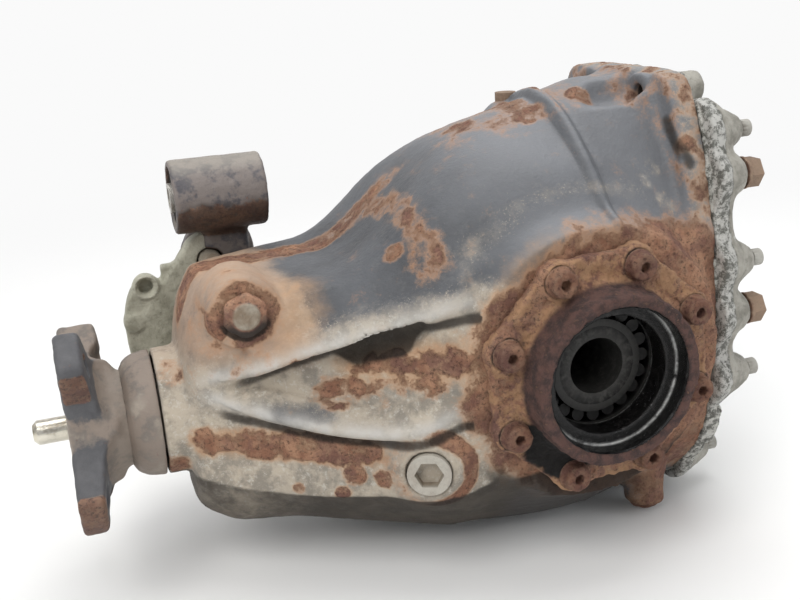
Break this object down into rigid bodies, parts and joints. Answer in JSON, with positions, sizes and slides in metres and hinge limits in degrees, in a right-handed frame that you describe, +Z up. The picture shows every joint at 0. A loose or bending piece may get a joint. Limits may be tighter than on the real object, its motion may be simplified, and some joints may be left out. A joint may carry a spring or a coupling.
{
  "type": "differential gear assembly",
  "caption": "Rear axle differential: hypoid gears in a rusted cast housing with ribbed nose, bolted rear and side covers, input flange and front mount.",
  "frame": {"origin": "on the axle axis, in the middle of the left output seal seat, 123.5 mm left of the plane that holds the pinion axis", "axes": "+X to the rear cover, +Y along the right-hand output, +Z up; the input flange faces -X"},
  "size_m": [0.421, 0.258, 0.2721],
  "materials": {
    "cast_housing": "worn grey paint over sand-cast iron with rust",
    "cover_alloy": "dull as-cast aluminium",
    "sealant": "squeezed silver sealant bead",
    "screw_steel": "dull zinc plated",
    "rusty_steel": "heavy brown rust",
    "rusty_cover": "rusted cast iron with an oily bore",
    "rusty_screws": "rusted",
    "black_rubber": "matt black",
    "bearing_steel": "ground and oiled",
    "plug_steel": "dusty zinc plated",
    "bracket_alloy": "as-cast, greenish oxide",
    "eye_steel": "worn dark paint with dust",
    "sleeve_steel": "machined",
    "gear_steel": "ground, oiled",
    "flange_steel": "dusty grey paint with rust",
    "pin_steel": "polished",
    "case_iron": "machined cast iron, oiled",
    "black_bolts": "black oxide",
    "bronze": "bronze thrust washer"
  },
  "bodies": {
    "housing": {"housing": "cast_housing", "rear_cover": "cover_alloy", "cover_sealant": "sealant", "cover_bolts": "screw_steel", "rear_mount_bolts": "rusty_steel", "left_side_cover": "rusty_cover", "right_side_cover": "rusty_cover", "side_cover_bolts": "rusty_screws", "side_cover_orings": "black_rubber", "left_bearing_cup": "bearing_steel", "right_bearing_cup": "bearing_steel", "left_shim": "bearing_steel", "right_shim": "bearing_steel", "pinion_head_cup": "bearing_steel", "pinion_tail_cup": "bearing_steel", "pinion_oil_seal": "black_rubber", "fill_plug": "plug_steel", "drain_plug": "rusty_steel", "breather": "rusty_steel", "mount_bracket": "bracket_alloy", "mount_eye": "eye_steel", "mount_rubber": "black_rubber", "mount_sleeve": "sleeve_steel", "cross_bolt": "plug_steel", "cross_nut": "plug_steel"},
    "pinion": {"drive_pinion": "gear_steel", "pinion_head_cone": "bearing_steel", "pinion_head_rollers": "bearing_steel", "pinion_tail_cone": "bearing_steel", "pinion_tail_rollers": "bearing_steel", "crush_sleeve": "sleeve_steel", "pinion_shim": "bearing_steel", "input_flange": "flange_steel", "dust_ring": "flange_steel", "pinion_nut": "flange_steel", "centring_pin": "pin_steel"},
    "case": {"differential_case": "case_iron", "crown_wheel": "gear_steel", "crown_wheel_bolts": "black_bolts", "cross_pin": "sleeve_steel", "cross_pin_lock": "sleeve_steel", "left_bearing_cone": "bearing_steel", "left_rollers": "bearing_steel", "right_bearing_cone": "bearing_steel", "right_rollers": "bearing_steel", "side_gear_washers": "bronze", "spider_washers": "bronze"},
    "left_side_gear": {"left_side_gear": "gear_steel"},
    "right_side_gear": {"right_side_gear": "gear_steel"},
    "upper_spider": {"upper_spider_gear": "gear_steel"},
    "lower_spider": {"lower_spider_gear": "gear_steel"}
  },
  "joints": [
    {"name": "case_spin", "type": "hinge", "parent": "housing", "child": "case", "pos_m": [0, 0.1235, 0], "axis": [0, 1, 0], "continuous": true},
    {"name": "pinion_spin", "type": "hinge", "parent": "housing", "child": "pinion", "pos_m": [-0.19, 0.1235, -0.022], "axis": [1, 0, 0], "continuous": true},
    {"name": "right_side_gear_spin", "type": "hinge", "parent": "case", "child": "right_side_gear", "pos_m": [0, 0.1235, 0], "axis": [0, 1, 0], "continuous": true},
    {"name": "left_side_gear_spin", "type": "hinge", "parent": "case", "child": "left_side_gear", "pos_m": [0, 0.1235, 0], "axis": [0, 1, 0], "continuous": true},
    {"name": "upper_spider_spin", "type": "hinge", "parent": "case", "child": "upper_spider", "pos_m": [0, 0.1235, 0.028], "axis": [0, 0, 1], "continuous": true},
    {"name": "lower_spider_spin", "type": "hinge", "parent": "case", "child": "lower_spider", "pos_m": [0, 0.1235, -0.028], "axis": [0, 0, 1], "continuous": true}
  ],
  "couplings": [
    {"joint": "pinion_spin", "follows": "case_spin", "ratio": 3.0833},
    {"joint": "left_side_gear_spin", "follows": "right_side_gear_spin", "ratio": -1},
    {"joint": "upper_spider_spin", "follows": "right_side_gear_spin", "ratio": -1.6},
    {"joint": "lower_spider_spin", "follows": "right_side_gear_spin", "ratio": 1.6}
  ]
}
